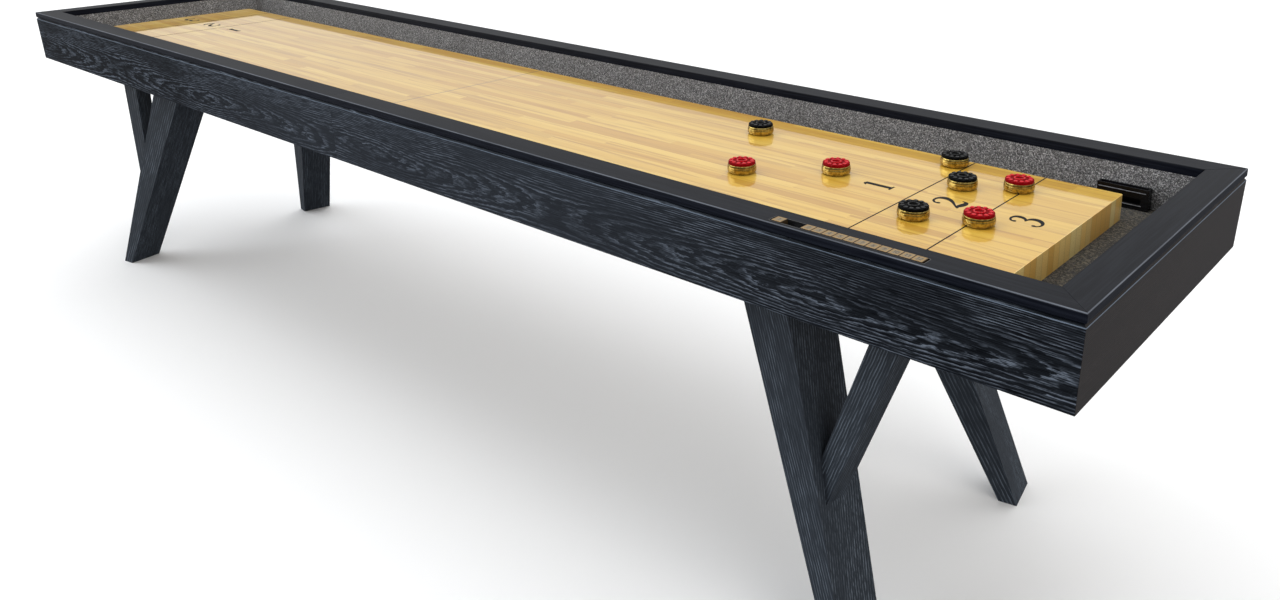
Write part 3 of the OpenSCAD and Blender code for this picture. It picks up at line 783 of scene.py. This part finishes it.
# ---------------------------------------------------------------- score tiles
# Plain numerals about one unit tall, as strokes of x and y
PLAIN = {
    "0": [[(0.22, 0.0), (0.20, 0.30), (0.0, 0.46), (-0.20, 0.30), (-0.22, 0.0), (-0.20, -0.30), (0.0, -0.46),
           (0.20, -0.30), (0.22, 0.0)]],
    "1": [[(-0.14, 0.32), (0.04, 0.46), (0.04, -0.46)]],
    "2": [[(-0.20, 0.28), (-0.06, 0.46), (0.16, 0.38), (0.20, 0.18), (0.02, -0.12), (-0.22, -0.46)],
          [(-0.22, -0.45), (0.22, -0.45)]],
    "3": [[(-0.20, 0.38), (0.02, 0.46), (0.20, 0.28), (0.0, 0.04)],
          [(0.0, 0.04), (0.22, -0.18), (0.04, -0.45), (-0.22, -0.36)]],
    "4": [[(0.10, -0.46), (0.10, 0.46)], [(0.10, 0.46), (-0.24, -0.16)], [(-0.24, -0.16), (0.24, -0.16)]],
    "5": [[(0.20, 0.45), (-0.16, 0.45)], [(-0.16, 0.45), (-0.20, 0.06)],
          [(-0.20, 0.06), (0.06, 0.12), (0.22, -0.16), (0.04, -0.45), (-0.20, -0.36)]],
    "6": [[(0.16, 0.44), (-0.12, 0.22), (-0.20, -0.16), (0.0, -0.46), (0.20, -0.18), (0.02, 0.04),
           (-0.18, -0.12)]],
    "7": [[(-0.22, 0.45), (0.22, 0.45)], [(0.22, 0.45), (-0.06, -0.46)]],
    "8": [[(0.0, 0.04), (0.18, 0.24), (0.0, 0.46), (-0.18, 0.24), (0.0, 0.04), (0.22, -0.20), (0.0, -0.46),
           (-0.22, -0.20), (0.0, 0.04)]],
    "9": [[(0.18, 0.12), (-0.02, -0.02), (-0.20, 0.20), (0.0, 0.46), (0.20, 0.20), (0.12, -0.20),
           (-0.14, -0.44)]],
}
FIGURE = 0.0092  # height of a tile's numeral
FIGURE_STEP = 0.0052  # spacing of its two digits
PEN = 0.055  # half width of its strokes, in numeral heights
PRINT = 0.00004  # how far the print stands up
PRINT_DEPTH = 0.00012
PRINT_LAYER = 0.000004  # keeps the strokes' crossings apart


def tile_wood(name, lo, hi, seed):
    """Small hardwood tile, its face framed by painted shade along its edge."""
    m = Mat(name, spec=0.3)
    x, y, z = m.xyz(m.p)
    g = m.noise(m.vec(m.mul(x, 300), m.plus(m.mul(y, 60), seed), m.mul(z, 300)), 1.0, 3.0, 0.6)
    fine = m.grain((x, y, z), (1700, 200, 1700))
    col = m.mix(m.ramp(g, (0.34, 0.0), (0.68, 1.0)), (0.34, 0.215, 0.075), (0.22, 0.128, 0.040))
    col = m.mix((seed * 0.37) % 0.4, col, (0.30, 0.22, 0.12))
    dx = m.over(m.size(m.less(x, (lo.x + hi.x) / 2)), (hi.x - lo.x) / 2)
    dy = m.over(m.size(m.less(y, (lo.y + hi.y) / 2)), (hi.y - lo.y) / 2)
    face = m.math("MAXIMUM", dx, dy)
    col = m.mix(m.below(face, 0.45, 0.72), col, (0.205, 0.165, 0.105))
    # painted shade: a dark colour along the tile's chamfered edge, where it meets its neighbours
    col = m.mix(m.step(face, 0.84, 0.95), col, (0.020, 0.013, 0.007))
    m.set("Base Color", m.mix(m.mul(fine, 0.3), col, (0.15, 0.09, 0.035)))
    m.set("Roughness", m.plus(m.mul(g, 0.15), 0.40))
    m.bump(m.plus(g, m.mul(fine, 0.6)), 0.0002, 0.5)
    return m.m


def tile_numeral(number, lo, hi):
    """The number's strokes, centred on a tile's top."""
    cx, cy = (lo.x + hi.x) / 2, (lo.y + hi.y) / 2
    digits = str(number)
    parts = []
    for i, digit in enumerate(digits):
        left = cx + (i - (len(digits) - 1) / 2) * FIGURE_STEP
        for j, line in enumerate(PLAIN[digit]):
            shape = stroke([(x, y, PEN) for x, y in line], 6)
            sides = [[(left + x * FIGURE, cy + y * FIGURE) for x, y in q] for q in shape]
            parts.append(prism(sides, hi.z - PRINT_LAYER * j + PRINT, PRINT_DEPTH))
    return gather(parts)


TILE_INK = speckled("tile_ink", (0.030, 0.022, 0.016), (0.075, 0.055, 0.038), 0.5, 900, bump=0.00005)
for k in range(1, 13):
    node = f"tile_{k}"
    lo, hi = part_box(node)
    put(node, tile_wood(f"tile_hardwood_{k}", lo, hi, 1.37 * k))
    ease(node, 0.0012, 3)
    o = new_object(f"tile_{k}_numeral", *tile_numeral(k, lo, hi), TILE_INK, smooth=False)
    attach(o, f"score_tile_{k}")

# ---------------------------------------------------------------- floor and light
FLOOR, FLOOR_SQUARES = 40.0, 24
BOUNCE = (0.25, 0.25, 0.26)  # the floor's colour for bounced light, which keeps the underside dark


def floor_paint():
    """Pale studio floor."""
    m = Mat("studio_floor", rough=0.75, spec=0.2)
    pale = m.mix(m.noise(m.p, 0.6), (0.92, 0.925, 0.93), (0.94, 0.945, 0.95))
    direct = m.add("ShaderNodeLightPath").outputs["Is Camera Ray"]
    m.set("Base Color", m.mix(direct, BOUNCE, pale))
    m.bump(m.noise(m.p, 40, 3.0), 0.0004, 0.2)
    return m.m


places = [FLOOR * (i / FLOOR_SQUARES - 0.5) for i in range(FLOOR_SQUARES + 1)]
corners = [(j * (FLOOR_SQUARES + 1) + i, (j + 1) * (FLOOR_SQUARES + 1) + i)
           for j in range(FLOOR_SQUARES) for i in range(FLOOR_SQUARES)]
floor = new_object("floor", [(x, y, 0) for y in places for x in places],
                   [(a, a + 1, b + 1, b) for a, b in corners], floor_paint(), smooth=False)
floor.location.z = cad_lo.z


def studio():
    """White surroundings, brighter beyond the table's back left corner."""
    world = bpy.data.worlds.new("studio")
    scene.world = world
    world.use_nodes = True
    add, link = world.node_tree.nodes.new, world.node_tree.links.new
    toward = add("ShaderNodeVectorMath")
    toward.operation = "DOT_PRODUCT"
    toward.inputs[1].default_value = Vector((-0.62, 0.74, 0.26)).normalized()
    link(add("ShaderNodeTexCoord").outputs["Generated"], toward.inputs[0])
    lobe = add("ShaderNodeMapRange")
    lobe.interpolation_type = "SMOOTHSTEP"
    for k, v in (("From Min", 0.05), ("From Max", 0.95), ("To Min", 0.44), ("To Max", 0.72)):
        lobe.inputs[k].default_value = v
    link(toward.outputs["Value"], lobe.inputs["Value"])
    background = world.node_tree.nodes["Background"]
    background.inputs["Color"].default_value = (1.0, 1.0, 1.0, 1)
    link(lobe.outputs[0], background.inputs["Strength"])


def sun(name, down, power, spread, colour=(1, 1, 1)):
    """A wide soft sun that shines in the direction down; spread is its width in degrees."""
    data = bpy.data.lights.new(name, "SUN")
    data.energy, data.angle, data.color = power, math.radians(spread), colour
    o = bpy.data.objects.new(name, data)
    scene.collection.objects.link(o)
    o.rotation_euler = Vector(down).to_track_quat("-Z", "Y").to_euler()
    return o


studio()
sun("overhead", (0.10, -0.26, -1.0), 1.48, 70)
sun("left_fill", (0.85, 0.50, -0.50), 1.90, 60, (0.92, 0.96, 1.0))
fill = sun("right_fill", (-0.90, 0.25, -0.40), 1.20, 50, (1.0, 0.97, 0.93))
fill.visible_glossy = False  # it would glare on the playfield's coat from the left end
